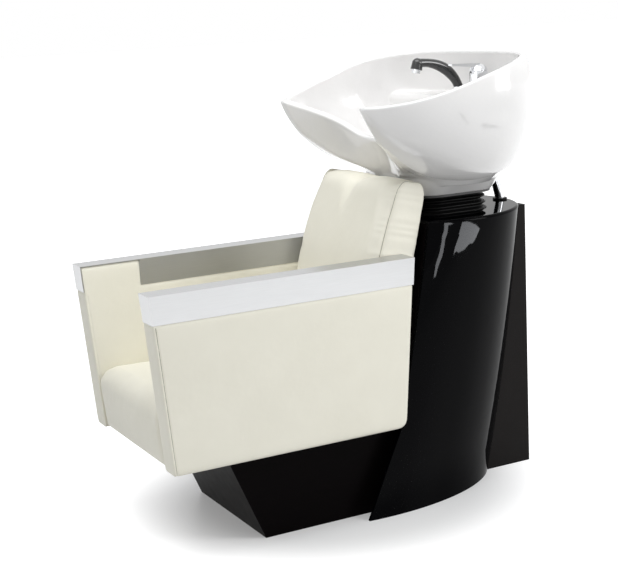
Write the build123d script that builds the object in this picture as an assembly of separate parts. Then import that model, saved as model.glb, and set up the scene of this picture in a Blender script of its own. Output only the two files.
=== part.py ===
from build123d import *
import math
import os

os.makedirs("parts", exist_ok=True)

# Shared sizes, in millimetres. X is across the chair, +Y runs from the client's feet to the basin, +Z is up.
# The floor is z = 0, and both sides of x = 0 are the same, apart from the tap, the spray and the hose guide.
overrun = 20.0
bolt_radius = 4.0
bolt_clearance = 0.3
bolt_head_radius = 6.5
bolt_head_height = 5.0
face_gap = 0.3
quarter_turn = 90

# Chair
inside_half = 211.0
arm_thickness = 64.0
arm_top_z = 682.0
arm_bottom_z = 236.0
arm_top_front_y = -622.0
arm_top_rear_y = 104.0
arm_front_lean = 34.0
arm_rear_lean = 38.0
arm_foot_radius = 22.0
arm_toe_radius = 8.0
arm_padding = 11.0
cap_sheet = 2.0
cap_skirt = 70.0
cap_inner_setback = 165.0

board_thickness = 18.0
board_top_z = 300.0
board_front_y = -562.0
cushion_front_y = -604.0
cushion_front_lean = 18.0
cushion_height = 110.0
cushion_nose_radius = 46.0
cushion_crown = 10.0
cushion_side_droop = 16.0
apron_bottom_z = 239.0

backrest_lean = 13.5
backrest_rear_y = 62.0
backrest_top_z = 850.0
backrest_thickness = 98.0
backrest_half = 208.0
backrest_crown = 10.0
backrest_channel = 13.0
backrest_round = 38.0
backrest_board_thickness = 15.0
backrest_board_margin = 40.0
backrest_bar_width = 40.0
backrest_bar_thickness = 6.0
backrest_screw_shares = (0.35, 0.6, 0.85)

rail_height = 40.0
rail_width = 40.0
rail_wall = 2.5
rail_x = 105.0
rail_front_y = -400.0
cross_rail_width = 30.0
cross_rail_count = 3
cross_rail_rear_y = 20.0
end_cap_thickness = 6.0
arm_bolt_length = 44.0

base_half = 205.0
base_wall = 12.0
base_front_y = -325.0
base_front_lean = 100.0
base_rear_y = 110.0

# Pedestal
deck_z = 758.0
shell_wall = 8.0
shell_foot_half = 262.0
shell_foot_reach = 447.0
shell_foot_y = 20.0
shell_waist_z = 400.0
shell_waist_half = 243.0
shell_waist_reach = 374.0
shell_waist_y = 173.0
shell_head_half = 248.0
shell_head_reach = 266.0
shell_head_y = 311.0
shell_rim_radius = 7.0
shell_toe_y = -50.0
shell_gap_to_arm = 6.0
shell_gap_to_backrest = 14.0
bulkhead_thickness = 6.0

rear_box_half = 108.0
rear_box_wall = 8.0
rear_box_rear_y = 575.0
rear_box_top_gap = 9.0
window_inset = 12.0
window_bottom_z = 70.0
access_width = 150.0
access_height = 430.0
access_bottom_z = 120.0
access_lip = 12.0
access_thickness = 4.0
screw_radius = 2.4
screw_head_radius = 4.5
screw_head_height = 2.4

# Bowl hinge and frame
pivot_y = 345.0
pivot_drop = 30.0
pivot_z = deck_z - pivot_drop
pin_radius = 8.0
pin_clearance = 0.05
post_size = 40.0
post_x = 118.0
floor_plate_half = 140.0
floor_plate_front_y = -40.0
floor_plate_rear_y = 380.0
floor_plate_thickness = 8.0
anchor_spacing_x = 220.0
anchor_spacing_y = 250.0
anchor_radius = 6.0
frame_ear_thickness = 8.0
frame_ear_half = 18.0
bowl_ear_x = 82.2
bowl_ear_thickness = 6.0
bowl_ear_half = 17.0
bush_radius = 10.0
bush_collar_radius = 14.0
bush_collar_thickness = 1.5
pin_head_radius = 12.0
pin_head_thickness = 4.0
running_gap = 0.2

# Bowl
bowl_half = 376.0
bowl_front_y = -40.0
bowl_length = 604.0
bowl_low_z = 862.0
bowl_rise = 334.0
bowl_wall = 16.0
bowl_flat_share = 0.3
# Each row is a level: the shares of rise, of half width, of length at the front and at the rear, and the
# share of its own length at which the level is widest.
hull_shares = [
    (-0.018, 0.665, 0.39, 0.887, 0.45),
    (0.1, 0.82, 0.248, 0.957, 0.48),
    (0.285, 0.931, 0.116, 0.99, 0.52),
    (0.61, 1.0, 0.0, 1.0, 0.58),
    (1.0, 0.968, 0.0, 0.954, 0.58),
]
underbody_shares = [
    (-0.066, 0.56, 0.402, 0.868, 0.45),
    (0.012, 0.66, 0.38, 0.912, 0.45),
    (0.1, 0.765, 0.286, 0.938, 0.48),
    (0.285, 0.872, 0.156, 0.962, 0.52),
]
basin_shares = [
    (0.072, 0.4, 0.406, 0.811, 0.5),
    (0.129, 0.606, 0.361, 0.871, 0.5),
    (0.263, 0.8, 0.252, 0.937, 0.52),
]
# The rim's side line and the crease between the hull and its underbody, as shares of length and of rise.
rim_front_z = 1070.0
rim_rise = 118.0
rim_shares = [(-0.05, 0.0), (0.16, 0.03), (0.28, 0.16), (0.41, 0.36), (0.53, 0.56), (0.65, 0.73),
              (0.78, 0.855), (0.9, 0.895), (1.06, 0.875)]
crease_shares = [(-0.033, 0.638), (0.083, 0.422), (0.175, 0.281), (0.272, 0.141), (0.336, 0.075), (0.43, 0.012),
                 (0.508, -0.009), (0.588, -0.009), (0.65, 0.012), (0.733, 0.063), (0.82, 0.123), (0.911, 0.189),
                 (1.06, 0.3)]
scoop_radius = 258.0
scoop_y = -163.0
scoop_lean = 27.5
scoop_edge_round = 24.0
scoop_wall = 24.0
neck_half = 213.0
neck_low_z = 966.0
neck_reach = 260.0
# The neck rest's line from its middle outwards, as shares of its half width and of its depth below the rim.
neck_shares = [(0.0, 0.0), (0.24, 0.06), (0.42, 0.3), (0.64, 0.58), (0.9, 0.86), (1.1, 1.2)]
ledge_z = 1058.0
ledge_front_y = 408.0
ledge_round = 22.0
ledge_thickness = 14.0
basin_floor_round = 30.0
lip_round = 6.0
foot_bottom_z = 812.0
foot_top_z = 884.0
foot_low = (160.0, 207.0, 458.0, 70.0)
foot_high = (226.0, 200.0, 494.0, 110.0)
foot_wall = 14.0
foot_hollow_top_z = 868.0
pocket_floor_z = 880.0
pocket_wall = 24.0
boss_radius = 14.0
boss_x = 112.0
boss_front_y = 262.0
boss_rear_y = 398.0
bowl_bolt_length = 30.0
passage_half = 60.0
passage_depth = 44.0
hull_height_above_pocket = 260.0

# Bracket, bellows and hose guide
plate_thickness = 6.0
plate_outline = (156.0, 211.0, 456.0, 66.0)
bellows_outline = (148.0, 217.0, 450.0, 66.0)
bellows_wall = 4.0
bellows_fold_depth = 17.0
# Each row is a share of the bellows' height and of its fold depth.
bellows_shares = [(0.0, 0.0), (0.2, 0.72), (0.36, 0.16), (0.55, 1.0), (0.72, 0.26), (0.87, 0.85), (1.0, 0.12)]
deck_opening_margin = 18.0
guide_x = 30.0
guide_y = 546.0
guide_radius = 13.0
guide_wall = 1.5
guide_low_angle = -10.0
guide_high_angle = 16.0
guide_straight = 118.0
grommet_neck = 3.0
grommet_lip = 8.0
grommet_height = 5.0
grommet_play = 0.6

# Tap, spray and waste
mixer_x = 58.0
mixer_y = 464.0
mixer_radius = 25.0
mixer_base_radius = 29.0
mixer_base_height = 6.0
mixer_ball_radius = 25.0
mixer_ball_height = 58.0
mixer_bore = 14.0
mixer_shank_radius = 16.0
mixer_shank_length = 50.0
mixer_nut_radius = 27.0
mixer_nut_height = 9.0
lever_shell = 2.6
lever_skirt = 10.0
lever_reach = 92.0
lever_width = 18.0
lever_thickness = 5.5
lever_rise = 9.0
inlet_spread = 9.0
inlet_radius = 5.0
inlet_seat_radius = 4.6
inlet_length = 68.0
spray_x = -50.0
spray_y = 470.0
spray_collar_radius = 22.0
spray_collar_height = 5.0
spray_cup_radius = 16.0
spray_cup_height = 15.0
spray_shank_radius = 12.0
spray_stem_radius = 9.5
spray_hose_radius = 6.5
spray_hose_low_z = 935.0
spray_handle_radius = 15.0
spray_head_radius = 16.5
spray_head_height = 17.0
spray_nozzle_radius = 12.0
spray_nozzle_height = 10.0
spray_face_lean = 0.25
spray_head_slope = 0.2
spray_stem_swivel = 30.0
spray_handle_reach = 134.0
spray_handle_rise = 72.0
# The handle's line, as shares of its reach forwards and of its height above the collar, and its thickness along it.
spray_path_shares = [(0.0, 0.0), (0.12, 0.43), (0.5, 0.85), (1.0, 1.0)]
spray_handle_shares = [(0.0, 0.9), (0.3, 1.0), (0.65, 0.92), (1.0, 0.96)]
drain_y = 330.0
drain_radius = 26.0
drain_lip = 9.0
drain_lip_thickness = 2.5
drain_wall = 2.5
drain_body_low_z = 846.0
drain_nut_radius = 37.0
drain_nut_height = 12.0
drain_seat_z = 876.0
waste_tail_radius = 16.0
waste_tail_wall = 1.5
waste_cup_height = 22.0
waste_tail_low_z = 772.0
strainer_hole_radius = 2.2
strainer_inner_ring = 8.0
strainer_inner_count = 6
strainer_outer_ring = 15.5
strainer_outer_count = 12
strainer_thickness = 2.0
strainer_knob_radius = 4.0
strainer_knob_height = 9.0


def side_prism(points, x_from, x_to):
    """A solid whose outline is given in Y and Z, between two places across the chair."""
    outline = Polyline(*[(x_from, y, z) for y, z in points], close=True)
    return extrude(make_face(outline), amount=x_to - x_from, dir=(1, 0, 0))


def block(x_from, x_to, y_from, y_to, z_from, z_to):
    """A rectangular solid between two corners."""
    size = (x_to - x_from, y_to - y_from, z_to - z_from)
    return Pos(x_from, y_from, z_from) * Box(*size, align=(Align.MIN, Align.MIN, Align.MIN))


def rod(start, direction, radius, length):
    """A round bar from a point along a direction."""
    return Plane(origin=start, z_dir=direction) * Cylinder(
        radius, length, align=(Align.CENTER, Align.CENTER, Align.MIN)
    )


def tube_x(x_from, x_to, y_from, y_to, z_from, z_to, wall):
    """A rectangular tube along X."""
    outer = block(x_from, x_to, y_from, y_to, z_from, z_to)
    return outer - block(x_from, x_to, y_from + wall, y_to - wall, z_from + wall, z_to - wall)


def tube_y(x_from, x_to, y_from, y_to, z_from, z_to, wall):
    """A rectangular tube along Y."""
    outer = block(x_from, x_to, y_from, y_to, z_from, z_to)
    return outer - block(x_from + wall, x_to - wall, y_from, y_to, z_from + wall, z_to - wall)


def tube_z(x_mid, y_mid, z_from, z_to, size, wall):
    """An upright square tube."""
    half = size / 2
    bore = half - wall
    outer = block(x_mid - half, x_mid + half, y_mid - half, y_mid + half, z_from, z_to)
    return outer - block(x_mid - bore, x_mid + bore, y_mid - bore, y_mid + bore, z_from, z_to)


def oval(half, y_front, y_rear, corner, z):
    """A level rounded rectangle, centred on x = 0."""
    sketch = RectangleRounded(2 * half, y_rear - y_front, corner)
    return Pos(0, (y_front + y_rear) / 2, z) * sketch


def oval_inset(outline, inset, z):
    """The same rounded rectangle, drawn in by an inset."""
    half, y_front, y_rear, corner = outline
    return oval(half - inset, y_front + inset, y_rear - inset, corner - inset, z)


def mirrored(part):
    """The same piece on the other side of the chair."""
    return mirror(part, about=Plane.YZ)


def write(name, *solids):
    """Writes one named piece, or a group of loose solids of one kind."""
    found = [solid for part in solids for solid in part.solids()]
    shape = found[0] if len(found) == 1 else Compound(children=found)
    shape.label = name
    export_step(shape, f"parts/{name}.step")


# Arms: a board core in a padded leather cover, with a folded metal cap over its top
def arm_line_front(z):
    """The arm's leaning front edge."""
    return arm_top_front_y + arm_front_lean * (arm_top_z - z) / (arm_top_z - arm_bottom_z)


def arm_line_rear(z):
    """The arm's leaning rear edge."""
    return arm_top_rear_y - arm_rear_lean * (arm_top_z - z) / (arm_top_z - arm_bottom_z)


def arm_face(inset, top_z):
    """The arm's side outline, drawn in by an inset, up to a height."""
    low = arm_bottom_z + inset
    points = [
        (arm_line_front(low) + inset, low),
        (arm_line_rear(low) - inset, low),
        (arm_line_rear(top_z) - inset, top_z),
        (arm_line_front(top_z) + inset, top_z),
    ]
    return points


def arm_slab(inset, x_from, x_to, top_z):
    """The arm's outline as a slab with rounded lower corners."""
    slab = side_prism(arm_face(inset, top_z), x_from, x_to)
    corners = slab.edges().filter_by(Axis.X).sort_by(Axis.Z)[:2].sort_by(Axis.Y)
    slab = fillet(corners[1], arm_foot_radius - inset)
    toe = slab.edges().filter_by(Axis.X).sort_by(Axis.Z)[0:3].sort_by(Axis.Y)[0]
    return fillet(toe, arm_toe_radius)


def arm_cap(inside, outside):
    """A folded cover: top, outer skirt, both ends, and an inner skirt that starts behind the front."""
    low = arm_top_z - cap_skirt
    whole = side_prism(
        [(arm_line_front(low), low), (arm_line_rear(low), low), (arm_line_rear(arm_top_z), arm_top_z),
         (arm_line_front(arm_top_z), arm_top_z)],
        inside, outside,
    )
    under = arm_top_z - cap_sheet
    hollow = side_prism(
        [(arm_line_front(low) + cap_sheet, low), (arm_line_rear(low) - cap_sheet, low),
         (arm_line_rear(under) - cap_sheet, under), (arm_line_front(under) + cap_sheet, under)],
        inside + cap_sheet, outside - cap_sheet,
    )
    bare_front = block(
        inside, inside + cap_sheet, arm_line_front(under) + cap_sheet, arm_top_front_y + cap_inner_setback, low, under
    )
    return whole - hollow - bare_front


def arm_bolt_places():
    """Where the frame's cross rails meet the arm."""
    step = (cross_rail_rear_y - rail_front_y) / (cross_rail_count - 1)
    return [rail_front_y + step * index for index in range(cross_rail_count)]


def make_arm():
    outside = inside_half + arm_thickness
    cap = arm_cap(inside_half, outside)
    core_top = arm_top_z - cap_sheet
    cover = arm_slab(0, inside_half, outside, core_top)
    core = arm_slab(arm_padding, inside_half + arm_padding, outside - arm_padding, core_top)
    cover = cover - cap - core
    bolts = []
    for place in arm_bolt_places():
        start = (inside_half - end_cap_thickness, place, rail_mid_z)
        hole = rod(start, (1, 0, 0), bolt_radius + bolt_clearance, arm_bolt_length + overrun)
        cover = cover - hole
        core = core - rod(start, (1, 0, 0), bolt_radius, arm_bolt_length)
        shank = rod(start, (1, 0, 0), bolt_radius, arm_bolt_length)
        head = rod(start, (-1, 0, 0), bolt_head_radius, bolt_head_height)
        bolts.append(shank + head)
    return cover, core, cap, bolts


rail_top_z = board_top_z - board_thickness
rail_bottom_z = rail_top_z - rail_height
rail_mid_z = (rail_top_z + rail_bottom_z) / 2
arm_cover, arm_core, cap, arm_bolts = make_arm()
for side, turn in (("left", mirrored), ("right", lambda part: part)):
    write(f"{side}_arm_cover", turn(arm_cover))
    write(f"{side}_arm_core", turn(arm_core))
    write(f"{side}_arm_cap", turn(cap))
write("arm_bolts", *arm_bolts, *[mirrored(bolt) for bolt in arm_bolts])


# Backrest: a padded block that leans back, with three channels at its top
lean_slope = math.tan(math.radians(backrest_lean))
backrest_height = (backrest_top_z - board_top_z) / math.cos(math.radians(backrest_lean))
backrest_frame = Pos(0, backrest_rear_y, board_top_z) * Rot(-backrest_lean, 0, 0)


def backrest_rear_at(z):
    """The plane of the backrest's rear face."""
    return backrest_rear_y + (z - board_top_z) * lean_slope


# Each row is a level's height, then the shares of thickness left, of crown, and of channel depth.
backrest_body_shares = [(0.0, 0.96, 0.5, -0.15), (0.3, 1.0, 1.0, -0.35), (0.62, 1.0, 1.0, -0.2),
                        (0.86, 1.0, 0.9, 0.5), (1.0, 0.98, 0.8, 0.9)]
backrest_head_shares = [(0.0, 0.98, 0.8, 0.9), (0.45, 0.88, 0.7, 1.0), (0.8, 0.66, 0.55, 0.9), (1.0, 0.4, 0.35, 0.6)]


def backrest_level(height, thick_share, crown_share, channel_share):
    """A level outline: flat rear and sides, and three arcs in front that meet in two channels."""
    thick = backrest_thickness * thick_share
    rear = -(backrest_thickness - thick) / 2
    front = rear - thick + backrest_crown
    half = backrest_half - (1 - thick_share) * backrest_crown
    third = half / 3
    crest = front - backrest_crown * crown_share
    valley = front + backrest_channel * channel_share
    mid = (third + half) / 2
    outer_crest = crest + backrest_crown * crown_share / 4
    edges = [
        Line((-half, front, height), (-half, rear, height)),
        Line((-half, rear, height), (half, rear, height)),
        Line((half, rear, height), (half, front, height)),
        ThreePointArc((half, front, height), (mid, outer_crest, height), (third, valley, height)),
        ThreePointArc((third, valley, height), (0, crest, height), (-third, valley, height)),
        ThreePointArc((-third, valley, height), (-mid, outer_crest, height), (-half, front, height)),
    ]
    return make_face(Wire(edges))


def make_backrest():
    shoulder = backrest_height - backrest_round
    body = loft([backrest_level(shoulder * share, *rest) for share, *rest in backrest_body_shares])
    head = loft([backrest_level(shoulder + backrest_round * share, *rest) for share, *rest in backrest_head_shares])
    pad = body + head
    board_low = backrest_board_margin
    board_high = shoulder - backrest_board_margin
    board_half = backrest_half - backrest_board_margin
    pocket = block(-board_half, board_half, -backrest_board_thickness, overrun, board_low, board_high)
    board = block(-board_half, board_half, -backrest_board_thickness, 0, board_low, board_high)
    bars = []
    bar_top = board_high - backrest_board_margin
    for x in (-rail_x, rail_x):
        half = backrest_bar_width / 2
        bar = block(x - half, x + half, 0, backrest_bar_thickness, -overrun * 2, bar_top)
        bar = backrest_frame * bar
        below = block(x - half, x + half, backrest_rear_y - overrun * 2, backrest_rear_y + overrun * 2,
                      rail_bottom_z - overrun * 2, rail_top_z)
        bars.append(bar - below)
    screws = []
    for x in (-rail_x, rail_x):
        for share in backrest_screw_shares:
            height = bar_top * share
            screws.append(backrest_frame * rod((x, backrest_bar_thickness, height), (0, 1, 0), screw_head_radius,
                                               screw_head_height))
    return backrest_frame * (pad - pocket), backrest_frame * board, bars, screws


backrest_pad, backrest_board, backrest_bars, backrest_screws = make_backrest()
write("backrest_cushion", backrest_pad)
write("backrest_board", backrest_board)
write("backrest_bars", *backrest_bars)
write("backrest_screws", *backrest_screws)


# Seat: a crowned cushion that rolls over the front and hangs in front of its board
def seat_section(x, top, nose):
    """The cushion's side outline at a place across the seat."""
    rear_low = backrest_rear_at(board_top_z) - backrest_thickness / math.cos(math.radians(backrest_lean)) - face_gap
    rear_high = rear_low + (top - board_top_z) * lean_slope
    front_top = cushion_front_y + (cushion_height + board_top_z - top)
    front_low = front_top + cushion_front_lean
    corner = math.sqrt(0.5)
    points = dict(
        rear_low=(x, rear_low, board_top_z),
        rear_high=(x, rear_high, top - cushion_side_droop / 2),
        middle=(x, (rear_high + front_top) / 2, top),
        nose_top=(x, front_top + nose, top - cushion_side_droop / 2),
        nose_mid=(x, front_top + nose * (1 - corner), top - cushion_side_droop / 2 - nose * (1 - corner)),
        nose_low=(x, front_top, top - cushion_side_droop / 2 - nose),
        hem_front=(x, front_low, apron_bottom_z),
        hem_rear=(x, board_front_y, apron_bottom_z),
        board_edge=(x, board_front_y, board_top_z),
    )
    edges = [
        Line(points["rear_low"], points["rear_high"]),
        ThreePointArc(points["rear_high"], points["middle"], points["nose_top"]),
        ThreePointArc(points["nose_top"], points["nose_mid"], points["nose_low"]),
        Line(points["nose_low"], points["hem_front"]),
        Line(points["hem_front"], points["hem_rear"]),
        Line(points["hem_rear"], points["board_edge"]),
        Line(points["board_edge"], points["rear_low"]),
    ]
    return make_face(Wire(edges))


# Each row is a share of the seat's half width and the share of the crown that is lost there.
seat_section_shares = [(-1.0, 1.0), (-0.86, 0.35), (-0.45, 0.06), (0.0, 0.0), (0.45, 0.06), (0.86, 0.35), (1.0, 1.0)]
cushion_half = inside_half - face_gap
seat_sections = [
    seat_section(cushion_half * across, board_top_z + cushion_height - cushion_crown * lost, cushion_nose_radius)
    for across, lost in seat_section_shares
]
write("seat_cushion", loft(seat_sections))

seat_board = block(-inside_half, inside_half, board_front_y, backrest_rear_y - backrest_bar_thickness,
                   rail_top_z, board_top_z)
write("seat_board", seat_board)


def make_seat_frame():
    """Two long rails with cross rails between the arms, welded."""
    frame = None
    rail_rear_y = pivot_y - post_size / 2
    for x in (-rail_x, rail_x):
        half = rail_width / 2
        rail = tube_y(x - half, x + half, rail_front_y - cross_rail_width / 2, rail_rear_y,
                      rail_bottom_z, rail_top_z, rail_wall)
        frame = rail if frame is None else frame + rail
    for place in arm_bolt_places():
        half = cross_rail_width / 2
        cross = tube_x(-inside_half, inside_half, place - half, place + half, rail_bottom_z, rail_top_z, rail_wall)
        frame = frame + cross
        for x_from in (-inside_half, inside_half - end_cap_thickness):
            cap_block = block(x_from, x_from + end_cap_thickness, place - half, place + half,
                              rail_bottom_z, rail_top_z)
            frame = frame + cap_block
        frame = frame - rod((-inside_half, place, rail_mid_z), (1, 0, 0), bolt_radius + bolt_clearance,
                            end_cap_thickness)
        frame = frame - rod((inside_half, place, rail_mid_z), (-1, 0, 0), bolt_radius + bolt_clearance,
                            end_cap_thickness)
    return frame


write("seat_frame", make_seat_frame())


def make_seat_base():
    """A black plinth of board, undercut at the front, open below and towards the pedestal."""
    top = rail_bottom_z
    front_top = base_front_y - base_front_lean
    outer = side_prism([(base_front_y, 0), (base_rear_y, 0), (base_rear_y, top), (front_top, top)],
                       -base_half, base_half)
    inner = side_prism(
        [(base_front_y + base_wall, -overrun), (base_rear_y + overrun, -overrun),
         (base_rear_y + overrun, top + overrun), (front_top + base_wall - base_front_lean * overrun / top,
                                                  top + overrun)],
        -base_half + base_wall, base_half - base_wall,
    )
    return outer - inner


write("seat_base", make_seat_base())


# Pedestal: a leaning oval shell, open towards the chair, with a flat deck for the bellows
def shell_section(half, reach, y_mid, z):
    return Pos(0, y_mid, z) * Ellipse(half, reach)


def shell_body(inset):
    """The pedestal's leaning oval body, drawn in by an inset."""
    top = deck_z - inset
    sections = [
        shell_section(shell_foot_half - inset, shell_foot_reach - inset, shell_foot_y, 0),
        shell_section(shell_waist_half - inset, shell_waist_reach - inset, shell_waist_y, shell_waist_z),
        shell_section(shell_head_half - inset, shell_head_reach - inset, shell_head_y, top),
    ]
    return loft(sections)


def shell_front_line(offset):
    """The shell's open front edge: toe, arm corner, and up behind the backrest."""
    knee_z = arm_bottom_z + shell_gap_to_arm
    top_z = deck_z + overrun
    return [
        (shell_toe_y + offset, -overrun),
        (shell_toe_y + offset, 0),
        (arm_line_rear(arm_bottom_z) + shell_gap_to_arm + offset, knee_z),
        (backrest_rear_at(top_z) + shell_gap_to_backrest + offset, top_z),
    ]


def in_front_of(offset):
    """Everything in front of the shell's open edge."""
    far = shell_foot_y - shell_foot_reach * 2
    points = shell_front_line(offset) + [(far, deck_z + overrun), (far, -overrun)]
    reach = shell_foot_half * 2
    return side_prism(points, -reach, reach)


def make_pedestal():
    outer = shell_body(0)
    rim = outer.edges().sort_by(Axis.Z)[-1]
    outer = fillet(rim, shell_rim_radius)
    below = block(-shell_foot_half * 2, shell_foot_half * 2, -shell_foot_reach * 2, shell_foot_reach * 2,
                  -overrun, 0)
    inner = shell_body(shell_wall)
    opening = extrude(oval_inset(bellows_outline, deck_opening_margin, deck_z - overrun), amount=overrun * 2)
    window_half = rear_box_half - rear_box_wall - window_inset
    window = block(-window_half, window_half, pivot_y, rear_box_rear_y + overrun, window_bottom_z,
                   deck_z - shell_wall - window_inset)
    guide_slot = rod((guide_x, guide_y, deck_z - overrun), (0, 0, 1), guide_radius + grommet_neck, overrun * 2)
    shell = outer - inner - below - in_front_of(0) - opening - window - guide_slot
    slab = in_front_of(bulkhead_thickness) - in_front_of(0)
    waist = block(-shell_foot_half * 2, shell_foot_half * 2, -shell_foot_reach, shell_foot_reach * 2,
                  board_top_z, deck_z - shell_wall)
    bulkhead = slab & inner & waist
    return outer, shell, bulkhead


pedestal_outer, pedestal_shell, bulkhead = make_pedestal()
write("pedestal_shell", pedestal_shell)
write("pedestal_front_panel", bulkhead)


def make_rear_box():
    """The upright housing behind the shell, with its access panel and screws."""
    top = deck_z - rear_box_top_gap
    outer = block(-rear_box_half, rear_box_half, pivot_y, rear_box_rear_y, 0, top)
    inner = block(-rear_box_half + rear_box_wall, rear_box_half - rear_box_wall, pivot_y - overrun,
                  rear_box_rear_y - rear_box_wall, -overrun, top - rear_box_wall)
    hole = block(-access_width / 2 + access_lip, access_width / 2 - access_lip, rear_box_rear_y - overrun,
                 rear_box_rear_y + overrun, access_bottom_z + access_lip,
                 access_bottom_z + access_height - access_lip)
    box = outer - inner - hole - pedestal_outer
    panel = block(-access_width / 2, access_width / 2, rear_box_rear_y, rear_box_rear_y + access_thickness,
                  access_bottom_z, access_bottom_z + access_height)
    panel = fillet(panel.edges().filter_by(Axis.Y), access_lip / 2)
    screws = []
    for x in (-access_width / 2 + access_lip / 2, access_width / 2 - access_lip / 2):
        for z in (access_bottom_z + access_lip, access_bottom_z + access_height - access_lip):
            face_y = rear_box_rear_y + access_thickness
            shank = rod((x, face_y, z), (0, -1, 0), screw_radius, access_thickness + rear_box_wall)
            head = rod((x, face_y, z), (0, 1, 0), screw_head_radius, screw_head_height)
            panel = panel - shank
            box = box - shank
            screws.append(shank + head)
    return box, panel, screws


rear_box, access_panel, access_screws = make_rear_box()
write("rear_box", rear_box)
write("rear_access_panel", access_panel)
write("access_panel_screws", *access_screws)


# Support frame: a floor plate, two posts and the ears that carry the bowl's hinge
def make_support_frame():
    plate = block(-floor_plate_half, floor_plate_half, floor_plate_front_y, floor_plate_rear_y,
                  0, floor_plate_thickness)
    middle_y = (floor_plate_front_y + floor_plate_rear_y) / 2
    for x in (-anchor_spacing_x / 2, anchor_spacing_x / 2):
        for y in (middle_y - anchor_spacing_y / 2, middle_y + anchor_spacing_y / 2):
            plate = plate - rod((x, y, 0), (0, 0, 1), anchor_radius, floor_plate_thickness)
    frame = plate
    post_top = pivot_z - frame_ear_half
    ear_outer = post_x - post_size / 2
    for side in (-1, 1):
        frame = frame + tube_z(side * post_x, pivot_y, floor_plate_thickness, post_top, post_size, rail_wall)
        x_low = min(side * ear_outer, side * (ear_outer - frame_ear_thickness))
        ear = ear_plate(x_low, frame_ear_thickness, frame_ear_half, post_top - post_size * 2)
        frame = frame + ear - rod((x_low, pivot_y, pivot_z), (1, 0, 0), pin_radius, frame_ear_thickness)
    tie = tube_x(-ear_outer, ear_outer, pivot_y - post_size / 2, pivot_y + post_size / 2,
                 board_top_z, board_top_z + post_size, rail_wall)
    return frame + tie


def ear_plate(x_low, thickness, half, z_far):
    """A flat ear with one round end about the hinge, reaching down or up to a height."""
    low = min(z_far, pivot_z)
    high = max(z_far, pivot_z)
    ear = block(x_low, x_low + thickness, pivot_y - half, pivot_y + half, low, high)
    return ear + rod((x_low, pivot_y, pivot_z), (1, 0, 0), half, thickness)


write("support_frame", make_support_frame())


def make_hinge_pins():
    """A headed pin and a flanged bush for one side."""
    ear_outer = post_x - post_size / 2
    ear_inner = ear_outer - frame_ear_thickness
    bush_low = bowl_ear_x
    bush_high = bowl_ear_x + bowl_ear_thickness
    head_high = bowl_ear_x - running_gap
    shank = rod((head_high, pivot_y, pivot_z), (1, 0, 0), pin_radius, ear_outer - head_high)
    head = rod((head_high, pivot_y, pivot_z), (-1, 0, 0), pin_head_radius, pin_head_thickness)
    sleeve = rod((bush_low, pivot_y, pivot_z), (1, 0, 0), bush_radius, bush_high - bush_low)
    collar = rod((bush_high, pivot_y, pivot_z), (1, 0, 0), bush_collar_radius, bush_collar_thickness)
    bore = rod((bush_low, pivot_y, pivot_z), (1, 0, 0), pin_radius + pin_clearance, ear_inner - bush_low)
    return shank + head, sleeve + collar - bore


hinge_pin, hinge_bush = make_hinge_pins()
write("hinge_pins", hinge_pin, mirrored(hinge_pin))
write("hinge_bushes", hinge_bush, mirrored(hinge_bush))


# Bowl: a glazed hull with two shoulder lobes, a neck rest, a deep basin and a raised rear ledge
def bowl_level(rise_share, half_share, front_share, rear_share, widest_share, inset=0.0):
    """A level of the bowl from its row of shares: z, half width, front, rear and widest place."""
    front = bowl_front_y + bowl_length * front_share + inset
    rear = bowl_front_y + bowl_length * rear_share - inset
    widest = front + (rear - front) * widest_share
    return bowl_low_z + bowl_rise * rise_share, bowl_half * half_share - inset, front, rear, widest


def bowl_outline(z, half, y_front, y_rear, widest):
    """A level outline: a short straight front, quarter ellipses at its corners and an oval rear."""
    flat = half * bowl_flat_share
    corner = (half - flat, widest - y_front)
    rear = (half, y_rear - widest)
    edges = [
        Line((-flat, y_front), (flat, y_front)),
        EllipticalCenterArc((flat, widest), *corner, start_angle=3 * quarter_turn, arc_size=quarter_turn),
        EllipticalCenterArc((0, widest), *rear, start_angle=0, arc_size=quarter_turn),
        EllipticalCenterArc((0, widest), *rear, start_angle=quarter_turn, arc_size=quarter_turn),
        EllipticalCenterArc((-flat, widest), *corner, start_angle=2 * quarter_turn, arc_size=quarter_turn),
    ]
    return Pos(0, 0, z) * make_face(Wire(edges))


def side_line(shares, low_z, rise):
    """Points of a line seen from the side, from shares of the bowl's length and of a height."""
    return [(bowl_front_y + bowl_length * along, low_z + rise * up) for along, up in shares]


def beyond(line, far_z):
    """Everything between a side line and a level above or below it."""
    x = -bowl_half - overrun
    near_y, near_z = line[0]
    far_y, last_z = line[-1]
    edges = [
        Spline(*[(x, y, z) for y, z in line]),
        Line((x, far_y, last_z), (x, far_y, far_z)),
        Line((x, far_y, far_z), (x, near_y, far_z)),
        Line((x, near_y, far_z), (x, near_y, near_z)),
    ]
    return extrude(make_face(Wire(edges)), amount=-2 * x, dir=(1, 0, 0))


def scoop(extra):
    """The leaning round column that the client's shoulders take out of the bowl's front."""
    slope = math.tan(math.radians(scoop_lean))
    low = foot_bottom_z - overrun
    high = bowl_low_z + bowl_rise + overrun
    start_y = scoop_y + (rim_front_z - low) * slope
    foot = Pos(0, start_y, low) * Circle(scoop_radius + extra)
    return extrude(foot, amount=(high - low) * math.hypot(1, slope), dir=(0, -slope, 1))


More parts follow.
